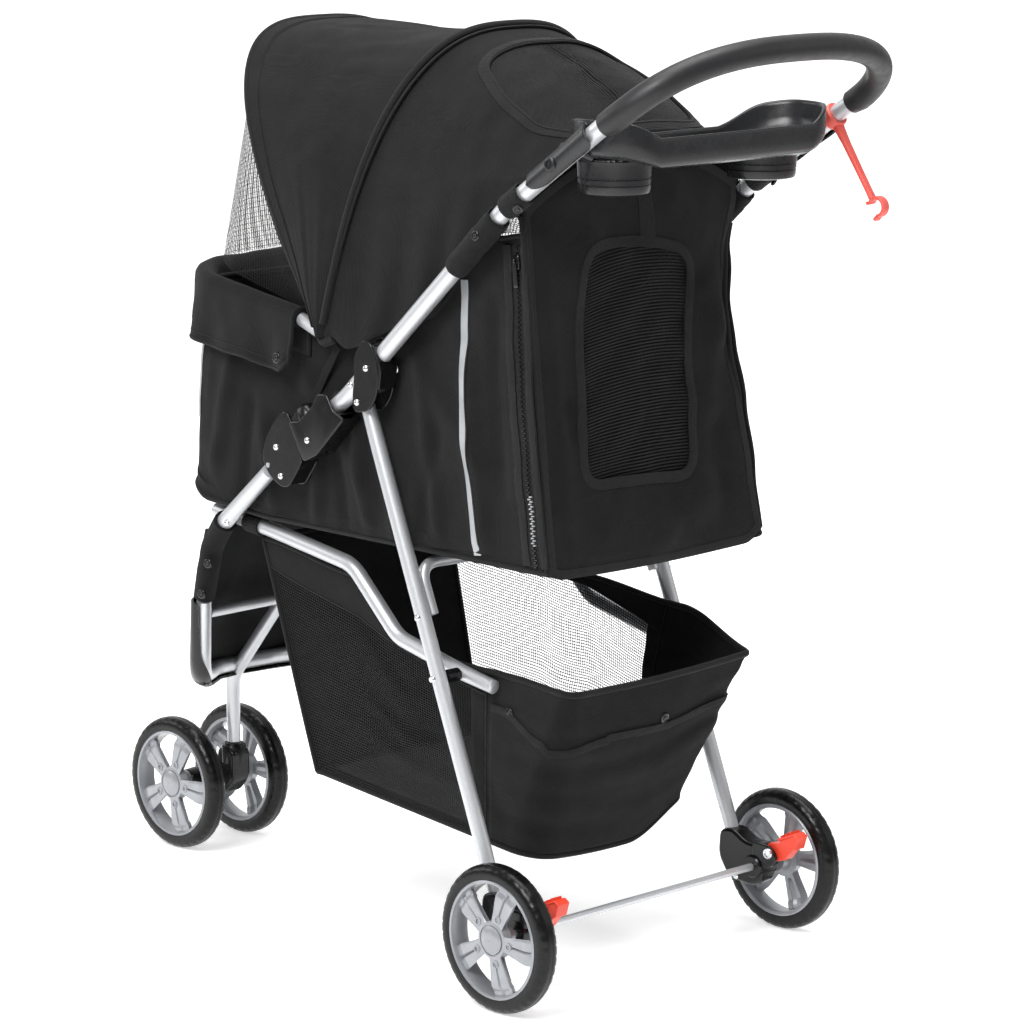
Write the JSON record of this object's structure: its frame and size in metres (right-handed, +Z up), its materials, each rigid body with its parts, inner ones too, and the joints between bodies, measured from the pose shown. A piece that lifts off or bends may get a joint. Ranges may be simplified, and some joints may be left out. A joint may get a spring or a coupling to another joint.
{
  "type": "pet stroller",
  "caption": "Folding pet stroller with twin swivelling front wheels, a braked rear axle, a soft mesh-windowed cabin under a bowed hood, a loop handle, a cup tray and a mesh basket.",
  "frame": {"origin": "on the floor, under the centre of the stroller's bounding box", "axes": "+X the stroller's left, +Y its rear (the handle side), +Z up"},
  "size_m": [0.445, 0.969, 0.9594],
  "materials": {
    "satin_tube": "satin drawn tube",
    "black_plastic": "fine-grained black moulding",
    "tray_plastic": "dark grey moulding, faintly grained",
    "foam": "closed-cell foam sleeve",
    "tyre": "moulded foam tyre",
    "rim_grey": "silver-grey moulded rim",
    "brake_red": "red-orange moulding",
    "lock_red": "coral red moulding",
    "fabric": "black woven polyester",
    "mesh": "knitted mesh",
    "board": "stiffening board",
    "steel": "domed rivets and zip sliders"
  },
  "bodies": {
    "rear_frame": {"rear_leg_left": "satin_tube", "rear_leg_right": "satin_tube", "rear_brace": "satin_tube", "rear_axle": "satin_tube", "axle_housing_left": "black_plastic", "axle_housing_right": "black_plastic", "rail_spacer_left": "black_plastic", "rail_spacer_right": "black_plastic", "rail_pin_left": "steel", "rail_pin_right": "steel"},
    "rear_wheel_left": {"rear_left_tyre": "tyre", "rear_left_rim": "rim_grey"},
    "rear_wheel_right": {"rear_right_tyre": "tyre", "rear_right_rim": "rim_grey"},
    "brake_left": {"brake_lever_left": "brake_red"},
    "brake_right": {"brake_lever_right": "brake_red"},
    "push_frame": {"push_handle_tube": "satin_tube", "foam_grip": "foam", "upper_bracket_left": "black_plastic", "upper_bracket_right": "black_plastic", "leg_pin_left": "steel", "leg_pin_right": "steel", "tray": "tray_plastic", "front_bar": "satin_tube", "bar_cover": "fabric", "cabin_tub": "fabric", "base_board": "board", "floor_pad": "fabric", "hood_rear_panel": "fabric", "front_mesh": "mesh"},
    "latch_left": {"fold_latch_left": "black_plastic"},
    "latch_right": {"fold_latch_right": "black_plastic"},
    "front_frame": {"front_leg_left": "satin_tube", "front_leg_right": "satin_tube", "fold_bracket_left": "black_plastic", "fold_bracket_right": "black_plastic", "fold_pin_left": "steel", "fold_pin_right": "steel", "front_u_bar": "satin_tube", "cross_tube": "satin_tube", "caster_stem": "satin_tube", "front_bumper": "black_plastic", "front_apron": "fabric"},
    "caster": {"caster_housing": "black_plastic", "caster_axle": "satin_tube"},
    "front_wheel_left": {"front_left_tyre": "tyre", "front_left_rim": "rim_grey"},
    "front_wheel_right": {"front_right_tyre": "tyre", "front_right_rim": "rim_grey"},
    "rails": {"side_rail_left": "satin_tube", "side_rail_right": "satin_tube", "basket": "mesh", "basket_board": "board"},
    "hood_mid": {"mid_bow": "black_plastic"},
    "hood_front": {"front_bow": "black_plastic", "hood_front_panel": "fabric"},
    "lock_arm": {"lock_arm": "lock_red"},
    "zip_slider_left": {"zip_slider_left": "steel"},
    "zip_slider_right": {"zip_slider_right": "steel"}
  },
  "joints": [
    {"name": "frame_fold", "type": "hinge", "parent": "rear_frame", "child": "push_frame", "pos_m": [0, 0.05305, 0.58], "axis": [1, 0, 0], "range_deg": [-78.2, 0], "deforming": ["cabin_tub", "base_board", "floor_pad", "basket", "basket_board"]},
    {"name": "front_frame_fold", "type": "hinge", "parent": "push_frame", "child": "front_frame", "pos_m": [0, -0.08395, 0.4985], "axis": [1, 0, 0], "range_deg": [0, 110]},
    {"name": "rail_fold", "type": "hinge", "parent": "rear_frame", "child": "rails", "pos_m": [0, 0.15755, 0.3115], "axis": [1, 0, 0], "range_deg": [-29.4, 0]},
    {"name": "rear_wheel_left_spin", "type": "hinge", "parent": "rear_frame", "child": "rear_wheel_left", "pos_m": [0.2077, 0.27905, 0.075], "axis": [1, 0, 0], "continuous": true},
    {"name": "rear_wheel_right_spin", "type": "hinge", "parent": "rear_frame", "child": "rear_wheel_right", "pos_m": [-0.2077, 0.27905, 0.075], "axis": [1, 0, 0], "continuous": true},
    {"name": "brake_left_press", "type": "hinge", "parent": "rear_frame", "child": "brake_left", "pos_m": [0.1736, 0.30055, 0.093], "axis": [1, 0, 0], "range_deg": [-30, 0]},
    {"name": "brake_right_press", "type": "hinge", "parent": "rear_frame", "child": "brake_right", "pos_m": [-0.1736, 0.30055, 0.093], "axis": [1, 0, 0], "range_deg": [-30, 0]},
    {"name": "latch_left_slide", "type": "slide", "parent": "push_frame", "child": "latch_left", "axis": [0, 0.7961, 0.6052], "range_m": [0, 0.02], "stiffness_N_per_m": 180, "springref_m": -0.01},
    {"name": "latch_right_slide", "type": "slide", "parent": "push_frame", "child": "latch_right", "axis": [0, 0.7961, 0.6052], "range_m": [0, 0.02], "stiffness_N_per_m": 180, "springref_m": -0.01},
    {"name": "caster_swivel", "type": "hinge", "parent": "front_frame", "child": "caster", "pos_m": [0, -0.36695, 0.121], "axis": [0, 0, 1], "continuous": true},
    {"name": "front_wheel_left_spin", "type": "hinge", "parent": "caster", "child": "front_wheel_left", "pos_m": [0.0467, -0.40995, 0.075], "axis": [1, 0, 0], "continuous": true},
    {"name": "front_wheel_right_spin", "type": "hinge", "parent": "caster", "child": "front_wheel_right", "pos_m": [-0.0467, -0.40995, 0.075], "axis": [1, 0, 0], "continuous": true},
    {"name": "hood_fold", "type": "hinge", "parent": "push_frame", "child": "hood_mid", "pos_m": [0, -0.01095, 0.632], "axis": [1, 0, 0], "range_deg": [-30, 0], "deforming": ["hood_rear_panel", "front_mesh"]},
    {"name": "hood_front_fold", "type": "hinge", "parent": "hood_mid", "child": "hood_front", "pos_m": [0, -0.01095, 0.632], "axis": [1, 0, 0], "range_deg": [-36, 0], "deforming": ["hood_front_panel"]},
    {"name": "lock_arm_swing", "type": "hinge", "parent": "push_frame", "child": "lock_arm", "pos_m": [-0.1745, 0.36453, 0.8641], "axis": [0, 0.8282, 0.5604], "range_deg": [-10, 150]},
    {"name": "zip_left_slide", "type": "slide", "parent": "push_frame", "child": "zip_slider_left", "axis": [0.0114, 0.1143, -0.9934], "range_m": [0, 0.255]},
    {"name": "zip_right_slide", "type": "slide", "parent": "push_frame", "child": "zip_slider_right", "axis": [-0.0114, 0.1143, -0.9934], "range_m": [0, 0.255]}
  ],
  "couplings": [
    {"joint": "front_frame_fold", "follows": "frame_fold", "ratio": -1.4066},
    {"joint": "rail_fold", "follows": "frame_fold", "ratio": 0.3759},
    {"joint": "hood_front_fold", "follows": "hood_fold", "ratio": 1.2}
  ]
}
